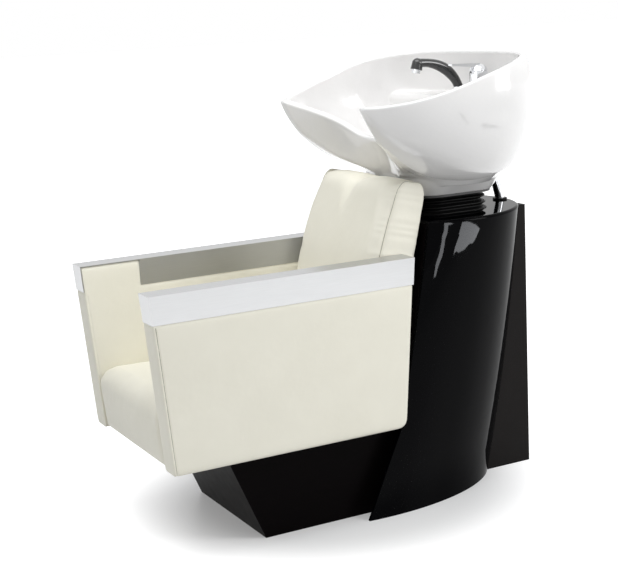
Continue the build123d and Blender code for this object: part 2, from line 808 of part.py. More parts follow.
def neck_cut():
    """What the neck rest takes out of the front wall: a notch that widens to the lobes' tips."""
    depth = rim_front_z - neck_low_z
    right = [(neck_half * across, neck_low_z + depth * up) for across, up in neck_shares]
    left = [(-x, z) for x, z in right[:0:-1]]
    y = bowl_front_y - overrun
    line = Spline(*[(x, y, z) for x, z in left + right])
    high = bowl_low_z + bowl_rise
    edges = [
        line,
        Line(line @ 1, (right[-1][0], y, high)),
        Line((right[-1][0], y, high), (left[0][0], y, high)),
        Line((left[0][0], y, high), line @ 0),
    ]
    return extrude(make_face(Wire(edges)), amount=neck_reach, dir=(0, 1, 0))


def near_level(shape, z):
    """A shape's edges that lie at one level."""
    slack = lip_round / 4
    return spans(shape, z - slack, z + slack)


def spans(shape, low, high):
    """A shape's edges that lie wholly between two heights."""
    found = []
    for edge in shape.edges():
        box = edge.bounding_box()
        if box.min.Z > low and box.max.Z < high:
            found.append(edge)
    return found


def make_hull():
    """The creased double hull: the upper body over a narrower underbody, less the shoulder scoop."""
    high = bowl_low_z + bowl_rise + overrun
    low = foot_bottom_z - overrun
    crease = side_line(crease_shares, bowl_low_z, bowl_rise)
    rim = side_line(rim_shares, rim_front_z, rim_rise)
    upper = loft([bowl_outline(*bowl_level(*row)) for row in hull_shares])
    upper = upper - beyond(crease, low) - beyond(rim, high)
    under = loft([bowl_outline(*bowl_level(*row)) for row in underbody_shares]) - beyond(crease, high)
    return upper + under - scoop(0)


def make_basin():
    """The space inside the bowl: a deep basin, and a shallow shelf behind it for the tap."""
    levels = [bowl_level(*row) for row in basin_shares]
    levels = levels + [bowl_level(*row, inset=bowl_wall) for row in hull_shares[-2:]]
    space = loft([bowl_outline(*level) for level in levels]) - scoop(scoop_wall)
    behind = block(-bowl_half * 2, bowl_half * 2, ledge_front_y, bowl_length * 2, foot_bottom_z, ledge_z)
    shelf_edge = behind.edges().filter_by(Axis.X).sort_by(Axis.Z)[-2:].sort_by(Axis.Y)[0]
    space = space - fillet(shelf_edge, ledge_round)
    return fillet(near_level(space, levels[0][0]), basin_floor_round)


def make_foot():
    """The flared foot under the hull, hollow from below, with bosses for its bolts."""
    foot = loft([oval_inset(foot_low, 0, foot_bottom_z), oval_inset(foot_high, 0, foot_top_z)])
    hollow = loft([oval_inset(foot_low, foot_wall, foot_bottom_z), oval_inset(foot_high, foot_wall, foot_top_z)])
    hollow = hollow & block(-bowl_half, bowl_half, -bowl_length, bowl_length, foot_bottom_z, foot_hollow_top_z)
    for x, y in boss_places():
        boss = rod((x, y, foot_bottom_z), (0, 0, 1), boss_radius, foot_hollow_top_z - foot_bottom_z)
        hollow = hollow - boss
    return foot, hollow


def boss_places():
    return [(x, y) for x in (-boss_x, boss_x) for y in (boss_front_y, boss_rear_y)]


def make_pocket():
    """The hidden space under the shelf, where the tap's tails and the hoses run."""
    sections = [bowl_outline(*bowl_level(*row, inset=pocket_wall)) for row in hull_shares]
    keep = block(-bowl_half, bowl_half, ledge_front_y + ledge_thickness, bowl_length * 2,
                 pocket_floor_z, ledge_z - ledge_thickness)
    return loft(sections) & keep


def guide_point(angle):
    """A point on the hose guide's arc about the bowl's hinge."""
    reach = math.hypot(guide_y - pivot_y, deck_z - pivot_z)
    turn = math.radians(angle)
    return (guide_x, pivot_y + reach * math.cos(turn), pivot_z + reach * math.sin(turn))


def guide_bar(radius, low_angle, straight):
    """A round bar bent about the hinge, then straight up into the bowl."""
    start = guide_point(low_angle)
    end = guide_point(guide_high_angle)
    arc = ThreePointArc(start, guide_point((low_angle + guide_high_angle) / 2), end)
    turn = math.radians(guide_high_angle)
    tip = (guide_x, end[1] - straight * math.sin(turn), end[2] + straight * math.cos(turn))
    low_turn = math.radians(low_angle)
    section = Plane(origin=start, z_dir=(0, -math.sin(low_turn), math.cos(low_turn))) * Circle(radius)
    return sweep(section, path=Wire([arc, Line(end, tip)]))


def scoop_edges(hull):
    """The upright edges where the shoulder scoop meets the lobes."""
    found = []
    for edge in spans(hull, bowl_low_z, rim_front_z + bowl_wall):
        box = edge.bounding_box()
        if box.size.Z > bowl_wall and box.max.Y < boss_front_y and abs(edge.center().X) > neck_half / 2:
            found.append(edge)
    return found


def lip_edges(bowl):
    """The edges that run along the bowl's rim and round its neck rest."""
    depth = rim_front_z - neck_low_z
    low = neck_low_z - bowl_wall
    found = []
    for edge in spans(bowl, low, bowl_low_z + bowl_rise):
        box = edge.bounding_box()
        if box.max.Z > rim_front_z - bowl_wall and box.size.Z < depth + bowl_wall * 2:
            found.append(edge)
    return found


def make_bowl():
    hull = make_hull()
    hull = fillet(scoop_edges(hull), scoop_edge_round)
    foot, hollow = make_foot()
    bowl = hull + foot - make_basin() - neck_cut()
    bowl = fillet(lip_edges(bowl), lip_round)
    bowl = bowl - hollow - make_pocket() - guide_bar(guide_radius, guide_low_angle, guide_straight)
    passage_y = foot_high[2] - foot_wall
    bowl = bowl - block(-passage_half, passage_half, passage_y - passage_depth, passage_y, foot_hollow_top_z - overrun,
                        pocket_floor_z)
    for x, y in boss_places():
        bowl = bowl - rod((x, y, foot_bottom_z), (0, 0, 1), bolt_radius, bowl_bolt_length)
    bowl = bowl - rod((mixer_x, mixer_y, pocket_floor_z), (0, 0, 1), mixer_shank_radius, hull_height_above_pocket)
    bowl = bowl - rod((spray_x, spray_y, pocket_floor_z), (0, 0, 1), spray_shank_radius, hull_height_above_pocket)
    return bowl - rod((0, drain_y, foot_bottom_z), (0, 0, 1), drain_radius, foot_top_z - foot_bottom_z + overrun)


write("bowl", make_bowl())


# Bracket under the bowl
def make_bracket():
    """The plate under the bowl's foot, with two ears that reach down to the hinge."""
    top = foot_bottom_z
    plate = extrude(oval_inset(plate_outline, 0, top - plate_thickness), amount=plate_thickness)
    plate = plate - rod((0, drain_y, top - plate_thickness), (0, 0, 1), drain_nut_radius + bolt_radius,
                        plate_thickness)
    plate = plate - block(-passage_half, passage_half, ledge_front_y, ledge_front_y + passage_depth / 2,
                          top - plate_thickness, top)
    bolts = []
    for x, y in boss_places():
        plate = plate - rod((x, y, top - plate_thickness), (0, 0, 1), bolt_radius + bolt_clearance, plate_thickness)
        shank = rod((x, y, top - plate_thickness), (0, 0, 1), bolt_radius, bowl_bolt_length)
        head = rod((x, y, top - plate_thickness), (0, 0, -1), bolt_head_radius, bolt_head_height)
        bolts.append(shank + head)
    for x_low in (bowl_ear_x, -bowl_ear_x - bowl_ear_thickness):
        ear = ear_plate(x_low, bowl_ear_thickness, bowl_ear_half, top - plate_thickness)
        plate = plate + ear - rod((x_low, pivot_y, pivot_z), (1, 0, 0), bush_radius, bowl_ear_thickness)
    return plate, bolts


bowl_bracket, bowl_bolts = make_bracket()
write("bowl_bracket", bowl_bracket)
write("bowl_bolts", *bowl_bolts)


def fold_stack(inset):
    """The folds of the bellows as one ruled body, drawn in by an inset."""
    height = foot_bottom_z - plate_thickness - deck_z
    sections = []
    for up, fold in bellows_shares:
        sections.append(oval_inset(bellows_outline, inset + bellows_fold_depth * fold, deck_z + height * up))
    return loft(sections, ruled=True)


write("bellows", fold_stack(0) - fold_stack(bellows_wall))

# Hose guide: a chrome tube bent about the hinge, so that it slides through its grommet as the bowl tilts
guide_outer = guide_bar(guide_radius, guide_low_angle, guide_straight)
guide_inner = guide_bar(guide_radius - guide_wall, guide_low_angle, guide_straight)
write("hose_guide", guide_outer - guide_inner)
grommet_neck_radius = guide_radius + grommet_neck
grommet = rod((guide_x, guide_y, deck_z - shell_wall), (0, 0, 1), grommet_neck_radius, shell_wall)
grommet = grommet + rod((guide_x, guide_y, deck_z), (0, 0, 1), grommet_neck_radius + grommet_lip / 2,
                        grommet_height)
write("hose_grommet", grommet - guide_bar(guide_radius + grommet_play, guide_low_angle, guide_straight))


# Tap: a ball-topped body, a turning cartridge and a lever cap that tilts on the ball
def make_mixer():
    here = (mixer_x, mixer_y, ledge_z)
    mixer_ball_z = ledge_z + mixer_ball_height
    ball = Pos(mixer_x, mixer_y, mixer_ball_z) * Sphere(mixer_ball_radius)
    ball_top = mixer_ball_z + math.sqrt(mixer_ball_radius**2 - mixer_bore**2)
    body = rod(here, (0, 0, 1), mixer_base_radius, mixer_base_height)
    body = body + rod(here, (0, 0, 1), mixer_radius, mixer_ball_z - ledge_z) + ball
    shank = rod(here, (0, 0, -1), mixer_shank_radius, mixer_shank_length)
    body = body + shank
    bore_low = ledge_z + mixer_base_height
    body = body - rod((mixer_x, mixer_y, bore_low), (0, 0, 1), mixer_bore, mixer_ball_radius * 4)
    for x in (mixer_x - inlet_spread, mixer_x + inlet_spread):
        body = body - rod((x, mixer_y, ledge_z - mixer_shank_length), (0, 0, 1), inlet_seat_radius,
                          mixer_shank_length + mixer_base_height)
    cartridge_top = mixer_ball_z
    cartridge = rod((mixer_x, mixer_y, bore_low + running_gap), (0, 0, 1), mixer_bore - running_gap,
                    cartridge_top - bore_low - running_gap)
    cavity = Pos(mixer_x, mixer_y, mixer_ball_z) * Sphere(mixer_ball_radius + running_gap * 2)
    cap_outer = mixer_ball_radius + running_gap * 2 + lever_shell
    cap = Pos(mixer_x, mixer_y, mixer_ball_z) * Sphere(cap_outer)
    blade_y = mixer_y - lever_reach
    blade = side_prism(
        [(mixer_y, ball_top - lever_thickness / 2), (blade_y, ball_top + lever_rise - lever_thickness / 2),
         (blade_y, ball_top + lever_rise + lever_thickness / 2), (mixer_y, ball_top + lever_thickness * 1.5)],
        mixer_x - lever_width / 2, mixer_x + lever_width / 2,
    )
    tips = blade.edges().filter_by(Axis.X)
    blade = fillet(tips, lever_thickness / 4)
    below = block(mixer_x - cap_outer * 2, mixer_x + cap_outer * 2, mixer_y - cap_outer * 2,
                  mixer_y + cap_outer * 2, ledge_z, mixer_ball_z + lever_skirt)
    stem = rod((mixer_x, mixer_y, cartridge_top + lever_shell), (0, 0, 1), mixer_bore / 3, mixer_ball_radius)
    lever = cap + blade - below - cavity + stem
    nut = rod((mixer_x, mixer_y, ledge_z - ledge_thickness), (0, 0, -1), mixer_nut_radius, mixer_nut_height)
    nut = nut - rod((mixer_x, mixer_y, ledge_z), (0, 0, -1), mixer_shank_radius, mixer_shank_length)
    tails = []
    for x in (mixer_x - inlet_spread, mixer_x + inlet_spread):
        seat = rod((x, mixer_y, ledge_z), (0, 0, -1), inlet_seat_radius, mixer_shank_length)
        tail = rod((x, mixer_y, ledge_z - mixer_shank_length), (0, 0, -1), inlet_radius, inlet_length)
        tails.append(seat + tail)
    return body, cartridge, lever, nut, tails


mixer_body, mixer_cartridge, mixer_lever, mixer_nut, mixer_tails = make_mixer()
write("mixer_body", mixer_body)
write("mixer_cartridge", mixer_cartridge)
write("mixer_lever", mixer_lever)
write("mixer_nut", mixer_nut)
write("mixer_inlet_tails", *mixer_tails)


# Hand spray: a curved handle whose chrome stem stands in a cup on the shelf
def spray_line():
    """Points of the handle's line, from the collar over its cup forwards to its head."""
    start = ledge_z + spray_cup_height + spray_collar_height
    return [(spray_x, spray_y - spray_handle_reach * along, start + spray_handle_rise * up)
            for along, up in spray_path_shares]


def make_spray():
    top = ledge_z + spray_cup_height
    cup = rod((spray_x, spray_y, ledge_z), (0, 0, 1), spray_collar_radius, spray_collar_height)
    cup = cup + rod((spray_x, spray_y, ledge_z), (0, 0, 1), spray_cup_radius, spray_cup_height)
    cup = cup + rod((spray_x, spray_y, ledge_z), (0, 0, -1), spray_shank_radius, mixer_shank_length)
    cup = cup - rod((spray_x, spray_y, top), (0, 0, -1), spray_stem_radius + running_gap,
                    spray_cup_height + mixer_shank_length)
    nut = rod((spray_x, spray_y, ledge_z - ledge_thickness), (0, 0, -1), spray_collar_radius, mixer_nut_height)
    nut = nut - rod((spray_x, spray_y, ledge_z), (0, 0, -1), spray_shank_radius, mixer_shank_length)
    low = top - spray_cup_height - spray_stem_swivel
    stem = rod((spray_x, spray_y, low), (0, 0, 1), spray_stem_radius, top - low)
    stem = stem + rod((spray_x, spray_y, top), (0, 0, 1), spray_cup_radius, spray_collar_height)
    path = Spline(*spray_line(), tangents=[(0, 0, 1), (0, -1, -spray_head_slope)])
    sections = []
    for share, size_share in spray_handle_shares:
        plane = Plane(origin=path @ share, z_dir=path % share)
        sections.append(plane * Circle(spray_handle_radius * size_share))
    handle = loft(sections)
    tip = path @ 1
    face = (0, -spray_face_lean, -1)
    head = Plane(origin=tip, z_dir=face) * Cone(
        spray_handle_radius, spray_head_radius, spray_head_height, align=(Align.CENTER, Align.CENTER, Align.MIN)
    )
    head = head + Pos(*tip) * Sphere(spray_handle_radius + running_gap)
    nozzle_start = Plane(origin=tip, z_dir=face).from_local_coords((0, 0, spray_head_height))
    nozzle = Plane(origin=nozzle_start, z_dir=face) * Cylinder(
        spray_nozzle_radius, spray_nozzle_height, align=(Align.CENTER, Align.CENTER, Align.MIN)
    )
    hose = rod((spray_x, spray_y, low - running_gap), (0, 0, -1), spray_hose_radius, low - spray_hose_low_z)
    return cup, nut, stem, handle + head, nozzle, hose


spray_cup, spray_nut, spray_stem, spray_handle, spray_nozzle, spray_hose = make_spray()
write("spray_cup", spray_cup)
write("spray_cup_nut", spray_nut)
write("spray_stem", spray_stem)
write("spray_handle", spray_handle)
write("spray_face", spray_nozzle)
write("spray_hose", spray_hose)


# Waste: a chrome flange through the basin floor, a nut below it, a tailpiece and a lift-out strainer
def make_waste():
    floor = bowl_low_z + bowl_rise * basin_shares[0][0]
    inner = drain_radius - drain_wall
    flange = rod((0, drain_y, floor), (0, 0, 1), drain_radius + drain_lip, drain_lip_thickness)
    flange = flange + rod((0, drain_y, floor), (0, 0, -1), drain_radius, floor - drain_body_low_z)
    flange = flange - rod((0, drain_y, floor + drain_lip_thickness), (0, 0, -1), inner,
                          floor + drain_lip_thickness - drain_seat_z)
    flange = flange - rod((0, drain_y, drain_seat_z), (0, 0, -1), inner - drain_wall, drain_seat_z)
    nut = rod((0, drain_y, foot_hollow_top_z), (0, 0, -1), drain_nut_radius, drain_nut_height)
    nut = nut - rod((0, drain_y, foot_hollow_top_z), (0, 0, -1), drain_radius, drain_nut_height)
    cup_top = drain_body_low_z
    cup = rod((0, drain_y, cup_top), (0, 0, -1), drain_radius, waste_cup_height)
    cup = cup + rod((0, drain_y, cup_top), (0, 0, -1), waste_tail_radius, cup_top - waste_tail_low_z)
    cup = cup - rod((0, drain_y, cup_top), (0, 0, -1), inner - drain_wall, waste_cup_height - drain_wall)
    cup = cup - rod((0, drain_y, cup_top), (0, 0, -1), waste_tail_radius - waste_tail_wall, cup_top)
    strainer = rod((0, drain_y, drain_seat_z), (0, 0, 1), inner - bolt_clearance, strainer_thickness)
    rings = ((strainer_inner_ring, strainer_inner_count), (strainer_outer_ring, strainer_outer_count))
    for ring, count in rings:
        for index in range(count):
            turn = 2 * math.pi * index / count
            place = (ring * math.cos(turn), drain_y + ring * math.sin(turn), drain_seat_z)
            strainer = strainer - rod(place, (0, 0, 1), strainer_hole_radius, strainer_thickness)
    knob = rod((0, drain_y, drain_seat_z), (0, 0, 1), strainer_knob_radius, strainer_knob_height)
    return flange, nut, cup, strainer + knob


drain_flange, drain_nut, waste_tail, strainer = make_waste()
write("drain_flange", drain_flange)
write("drain_nut", drain_nut)
write("waste_tail", waste_tail)
write("drain_strainer", strainer)
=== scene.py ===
# %% [markdown]
# # A salon wash unit, piece by piece
# The unit is an armchair joined to a black pedestal, and the pedestal carries a tilting ceramic bowl.
# The measured model is loaded first. It is the frame that every visible piece below has to fit.

# %% Load the measured model
import bpy
import bmesh
import math
from mathutils import Matrix, Vector


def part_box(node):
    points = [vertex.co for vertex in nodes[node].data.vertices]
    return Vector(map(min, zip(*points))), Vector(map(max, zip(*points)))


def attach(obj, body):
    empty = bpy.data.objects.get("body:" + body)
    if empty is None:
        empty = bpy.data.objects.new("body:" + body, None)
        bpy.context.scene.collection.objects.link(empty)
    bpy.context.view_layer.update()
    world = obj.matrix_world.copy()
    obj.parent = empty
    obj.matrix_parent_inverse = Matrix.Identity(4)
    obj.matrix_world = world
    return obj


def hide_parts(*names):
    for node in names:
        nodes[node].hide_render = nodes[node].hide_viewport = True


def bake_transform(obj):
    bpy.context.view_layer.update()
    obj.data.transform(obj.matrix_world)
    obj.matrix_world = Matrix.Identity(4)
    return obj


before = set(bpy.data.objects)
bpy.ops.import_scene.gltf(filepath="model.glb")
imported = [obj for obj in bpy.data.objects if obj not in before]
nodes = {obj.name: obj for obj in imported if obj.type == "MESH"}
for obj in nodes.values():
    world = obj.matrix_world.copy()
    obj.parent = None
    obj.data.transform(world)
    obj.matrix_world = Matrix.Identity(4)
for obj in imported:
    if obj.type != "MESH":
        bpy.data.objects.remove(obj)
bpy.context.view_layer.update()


# %% [markdown]
# ## Camera
# The photograph was taken with a long lens, from in front and from the side of the right arm, a little
# above the bowl's rim. The camera's place and lens were found from the corners of the arms, the plinth
# and the rear box, so here they are simply set. The three directions are the camera's right, up and back.

# %% Place the camera
def look_directions(azimuth, elevation, roll):
    a, e, r = math.radians(azimuth), math.radians(elevation), math.radians(roll)
    back = Vector((math.sin(a) * math.cos(e), -math.cos(a) * math.cos(e), math.sin(e)))
    right = Vector((math.cos(a), math.sin(a), 0))
    up = back.cross(right)
    return right * math.cos(r) + up * math.sin(r), up * math.cos(r) - right * math.sin(r), back


camera_data = bpy.data.cameras.new("camera")
camera_data.lens = 80.2
camera_data.sensor_width = 36
camera = bpy.data.objects.new("camera", camera_data)
bpy.context.scene.collection.objects.link(camera)
right, up, back = look_directions(62.62, 11.63, -2.86)
turn = Matrix((right, up, back)).transposed().to_4x4()
camera.matrix_world = Matrix.Translation((3.207, -1.721, 1.334)) @ turn
bpy.context.scene.camera = camera
bpy.context.scene.view_settings.view_transform = "Standard"
print("camera looks along", -back)


# %% [markdown]
# ## Materials
# A finish is more than a colour: leather has pores and slow changes of tone, glaze is never quite even,
# and lacquer shows faint waves. Each finish below is made from noise nodes in the object's own metres,
# so the grain has its real size. Plain numbers are set on the shader's sockets.

# %% A small kit for building node materials
def new_material(name, color, roughness, metallic=0.0, **sockets):
    """A Principled material with its plain numbers set directly on the sockets."""
    material = bpy.data.materials.new(name)
    material.use_nodes = True
    shader = material.node_tree.nodes["Principled BSDF"]
    shader.inputs["Base Color"].default_value = (*color, 1)
    shader.inputs["Roughness"].default_value = roughness
    shader.inputs["Metallic"].default_value = metallic
    for socket, value in sockets.items():
        shader.inputs[socket.replace("_", " ")].default_value = value
    return material


def add_node(material, kind, **values):
    """Adds a node, and sets its properties or its input sockets by name."""
    node = material.node_tree.nodes.new(kind)
    for key, value in values.items():
        if hasattr(node, key):
            setattr(node, key, value)
        else:
            node.inputs[key.replace("_", " ")].default_value = value
    return node


def wire(material, start, start_socket, end, end_socket):
    material.node_tree.links.new(start.outputs[start_socket], end.inputs[end_socket])


def shader_of(material):
    return material.node_tree.nodes["Principled BSDF"]


def noise(material, scale, detail=3.0, roughness=0.5, stretch=(1, 1, 1)):
    """A noise texture in the object's own metres, stretched if asked."""
    place = add_node(material, "ShaderNodeTexCoord")
    mapping = add_node(material, "ShaderNodeMapping")
    mapping.inputs["Scale"].default_value = stretch
    texture = add_node(material, "ShaderNodeTexNoise", Scale=scale, Detail=detail, Roughness=roughness)
    wire(material, place, "Object", mapping, "Vector")
    wire(material, mapping, "Vector", texture, "Vector")
    return texture


def tone(material, texture, output, low, high):
    """A colour ramp from one tone to another, driven by a texture."""
    ramp = add_node(material, "ShaderNodeValToRGB")
    ramp.color_ramp.elements[0].position = 0.3
    ramp.color_ramp.elements[1].position = 0.7
    ramp.color_ramp.elements[0].color = (*low, 1)
    ramp.color_ramp.elements[1].color = (*high, 1)
    wire(material, texture, output, ramp, "Fac")
    return ramp


def bump(material, texture, output, strength, distance, under=None):
    """A bump from a texture, on top of an earlier bump if there is one."""
    node = add_node(material, "ShaderNodeBump", Strength=strength, Distance=distance)
    wire(material, texture, output, node, "Height")
    if under:
        wire(material, under, "Normal", node, "Normal")
    return node


def roughness_range(material, texture, output, low, high):
    """Lets the roughness wander between two values."""
    spread = add_node(material, "ShaderNodeMapRange")
    spread.inputs["To Min"].default_value = low
    spread.inputs["To Max"].default_value = high
    wire(material, texture, output, spread, "Value")
    wire(material, spread, "Result", shader_of(material), "Roughness")


# %% [markdown]
# The upholstery is ivory leatherette with a fine pebble grain. Voronoi cells about a millimetre wide
# give the pebbles, a slower noise gives the soft unevenness of a stretched cover.

# %% Ivory leather
def make_leather(name, light, dark):
    leather = new_material(name, light, 0.5, Specular_IOR_Level=0.35, Sheen_Weight=0.06, Sheen_Roughness=0.4)
    clouds = noise(leather, 9.0, 4.0)
    shade = tone(leather, clouds, "Fac", dark, light)
    wire(leather, shade, "Color", shader_of(leather), "Base Color")
    place = add_node(leather, "ShaderNodeTexCoord")
    pebbles = add_node(leather, "ShaderNodeTexVoronoi", feature="DISTANCE_TO_EDGE", Scale=620.0)
    wire(leather, place, "Object", pebbles, "Vector")
    waves = bump(leather, noise(leather, 26.0, 3.0), "Fac", 0.25, 0.004)
    grain = bump(leather, pebbles, "Distance", 0.28, 0.0006, waves)
    wire(leather, grain, "Normal", shader_of(leather), "Normal")
    roughness_range(leather, noise(leather, 60.0), "Fac", 0.42, 0.58)
    return leather


ivory_leather = make_leather("ivory_leather", (0.85, 0.825, 0.715), (0.82, 0.795, 0.685))
seam_thread = make_leather("seam_thread", (0.42, 0.4, 0.33), (0.36, 0.34, 0.28))
print("leather", len(ivory_leather.node_tree.nodes), "nodes")


# %% [markdown]
# The bowl is fired ceramic under a thick clear glaze: warm white, very smooth, with a faint waviness
# that bends reflections a little. A coat layer stands for the glaze.

# %% Glazed ceramic
def make_ceramic():
    ceramic = new_material("glazed_ceramic", (0.83, 0.82, 0.81), 0.16, Coat_Weight=0.8, Coat_Roughness=0.03,
                           Specular_IOR_Level=0.5)
    shade = tone(ceramic, noise(ceramic, 5.0, 2.0), "Fac", (0.81, 0.8, 0.79), (0.845, 0.835, 0.825))
    wire(ceramic, shade, "Color", shader_of(ceramic), "Base Color")
    waves = bump(ceramic, noise(ceramic, 16.0, 2.0), "Fac", 0.06, 0.003)
    wire(ceramic, waves, "Normal", shader_of(ceramic), "Normal")
    wire(ceramic, waves, "Normal", shader_of(ceramic), "Coat Normal")
    return ceramic


glazed_ceramic = make_ceramic()
print("ceramic", len(glazed_ceramic.node_tree.nodes), "nodes")


# %% [markdown]
# The pedestal's shell is black and highly polished. What the eye sees is mostly the reflection of a few
# bright things, so its colour is nearly nothing and its surface is smooth, with a slight orange peel.
# The blacks reflect less than plain plastic does, because in a room this white they would turn grey.

# %% Blacks: gloss shell, satin plinth, matt box, rubber and powder coat
def make_black(name, color, low, high, wave, wave_depth, coat=0.0, mirror=0.5):
    black = new_material(name, color, low, Coat_Weight=coat, Coat_Roughness=0.02, Specular_IOR_Level=mirror)
    speck = noise(black, 240.0, 2.0)
    lighter = tuple(part * 1.5 + 0.0005 for part in color)
    shade = tone(black, speck, "Fac", color, lighter)
    wire(black, shade, "Color", shader_of(black), "Base Color")
    peel = bump(black, noise(black, wave, 2.0), "Fac", 0.1, wave_depth)
    wire(black, peel, "Normal", shader_of(black), "Normal")
    roughness_range(black, noise(black, 30.0), "Fac", low, high)
    return black


gloss_black = make_black("gloss_black", (0.0004, 0.0004, 0.0007), 0.02, 0.035, 24.0, 0.0002, mirror=0.03)
satin_black = make_black("satin_black", (0.0016, 0.0011, 0.0012), 0.3, 0.42, 300.0, 0.0004, mirror=0.02)
matt_black = make_black("matt_black", (0.0055, 0.0046, 0.0044), 0.45, 0.6, 500.0, 0.0004, mirror=0.08)
folded_rubber = make_black("folded_rubber", (0.002, 0.002, 0.002), 0.35, 0.5, 400.0, 0.0004, mirror=0.12)
powder_coat = make_black("powder_coat", (0.02, 0.02, 0.02), 0.35, 0.5, 900.0, 0.0003)
handle_black = make_black("handle_black", (0.006, 0.006, 0.006), 0.14, 0.22, 200.0, 0.0002, coat=0.5)
print("blacks:", [material.name for material in bpy.data.materials if "black" in material.name])


# %% [markdown]
# Metals: the arm caps are satin silver sheet, brushed along their length; the tap is chrome. Brushing is
# noise stretched fiftyfold along one direction, in the bump and in the roughness.

# %% Metals
def make_metal(name, color, low, high, stretch, scale, depth):
    metal = new_material(name, color, low, 1.0)
    scratches = noise(metal, scale, 4.0, 0.6, stretch)
    roughness_range(metal, scratches, "Fac", low, high)
    lines = bump(metal, scratches, "Fac", 0.12, depth)
    wire(metal, lines, "Normal", shader_of(metal), "Normal")
    shade = tone(metal, scratches, "Fac", tuple(part * 0.93 for part in color), color)
    wire(metal, shade, "Color", shader_of(metal), "Base Color")
    return metal


cap_silver = make_metal("cap_silver", (0.53, 0.535, 0.54), 0.26, 0.36, (1, 0.02, 1), 900.0, 0.0002)
chrome = make_metal("chrome", (0.80, 0.81, 0.83), 0.04, 0.08, (1, 1, 1), 60.0, 0.0001)
plated_steel = make_metal("plated_steel", (0.58, 0.58, 0.6), 0.25, 0.4, (1, 1, 1), 300.0, 0.0002)
raw_brass = make_metal("raw_brass", (0.68, 0.5, 0.24), 0.2, 0.35, (1, 1, 1), 200.0, 0.0002)
print("metals:", [metal.name for metal in (cap_silver, chrome, plated_steel, raw_brass)])


# %% [markdown]
# The hidden pieces are plain: moulded plastic with a fine skin, and plywood whose grain runs along the chair.

# %% Plain plastics and plywood
def make_plastic(name, color, roughness):
    plastic = new_material(name, color, roughness)
    shade = tone(plastic, noise(plastic, 50.0), "Fac", tuple(part * 0.94 for part in color), color)
    wire(plastic, shade, "Color", shader_of(plastic), "Base Color")
    skin = bump(plastic, noise(plastic, 700.0), "Fac", 0.08, 0.0003)
    wire(plastic, skin, "Normal", shader_of(plastic), "Normal")
    return plastic


def make_plywood():
    wood = new_material("plywood", (0.5, 0.34, 0.18), 0.65)
    grain = noise(wood, 40.0, 5.0, 0.6, (1, 0.08, 1))
    shade = tone(wood, grain, "Fac", (0.40, 0.26, 0.13), (0.60, 0.43, 0.25))
    wire(wood, shade, "Color", shader_of(wood), "Base Color")
    pores = bump(wood, grain, "Fac", 0.3, 0.0008)
    wire(wood, pores, "Normal", shader_of(wood), "Normal")
    return wood


white_plastic = make_plastic("white_plastic", (0.78, 0.78, 0.76), 0.4)
natural_plastic = make_plastic("natural_plastic", (0.66, 0.64, 0.58), 0.45)
plywood = make_plywood()
print("materials so far", len(bpy.data.materials))


# %% [markdown]
# ## Finishes for the measured pieces
# Many pieces of the measured model already have their true shape, so they stay as they are and only
# take a finish.

# %% Paint the measured pieces
finish_of = {
    "support_frame": powder_coat, "seat_frame": powder_coat, "seat_base": satin_black,
    "pedestal_shell": gloss_black, "pedestal_front_panel": satin_black, "rear_box": matt_black,
    "rear_access_panel": matt_black, "access_panel_screws": plated_steel, "hinge_pins": plated_steel,
    "hinge_bushes": natural_plastic, "left_arm_core": plywood, "right_arm_core": plywood,
    "left_arm_cover": ivory_leather, "right_arm_cover": ivory_leather, "left_arm_cap": cap_silver,
    "right_arm_cap": cap_silver, "arm_bolts": plated_steel, "seat_board": plywood,
    "seat_cushion": ivory_leather, "backrest_board": plywood, "backrest_cushion": ivory_leather,
    "backrest_bars": powder_coat, "backrest_screws": plated_steel, "bowl": glazed_ceramic,
    "bowl_bracket": powder_coat, "bowl_bolts": plated_steel, "bellows": folded_rubber,
    "hose_guide": chrome, "hose_grommet": folded_rubber, "mixer_body": chrome, "mixer_nut": raw_brass,
    "mixer_inlet_tails": plated_steel, "mixer_cartridge": natural_plastic, "mixer_lever": chrome,
    "spray_cup": chrome, "spray_cup_nut": raw_brass, "spray_stem": chrome, "spray_handle": handle_black,
    "spray_face": chrome, "spray_hose": plated_steel, "drain_flange": chrome, "drain_nut": white_plastic,
    "waste_tail": white_plastic, "drain_strainer": chrome,
}
for name, finish in finish_of.items():
    slots = nodes[name].data.materials
    if not slots:
        slots.append(finish)
    for index in range(len(slots)):
        slots[index] = finish
print("painted", len(finish_of), "pieces")


# %% [markdown]
# ## Upholstery
# Every cushion starts as the skin of a block: a closed net of four-sided faces whose edges are rounded.
# A net like this has even cells, so it can be blown up by the cloth solver, bent, and sewn afterwards.

# %% A rounded, closed net for a cushion
net_cell = 0.009


def spaced(low, high, step, *marks):
    """Evenly spaced places from low to high, with some more at the marks."""
    count = max(1, round((high - low) / step))
    places = [low + (high - low) * index / count for index in range(count + 1)]
    for mark in marks:
        places = [place for place in places if abs(place - mark) > step / 5 or place in (low, high)]
        places.append(mark)
    return sorted(places)


def rounded(point, lows, highs, radii):
    """Moves a point of a sharp block on to the same block with rounded edges."""
    inner, part = [], []
    for place, low, high, (low_radius, high_radius) in zip(point, lows, highs, radii):
        held = min(max(place, low + low_radius), high - high_radius)
        radius = low_radius if place < held else high_radius
        inner.append((held, radius))
        part.append((place - held) / radius)
    longest = max(abs(value) for value in part)
    if longest == 0:
        return Vector(point)
    shrink = longest / math.sqrt(sum(value * value for value in part))
    return Vector([held + radius * value * shrink for (held, radius), value in zip(inner, part)])


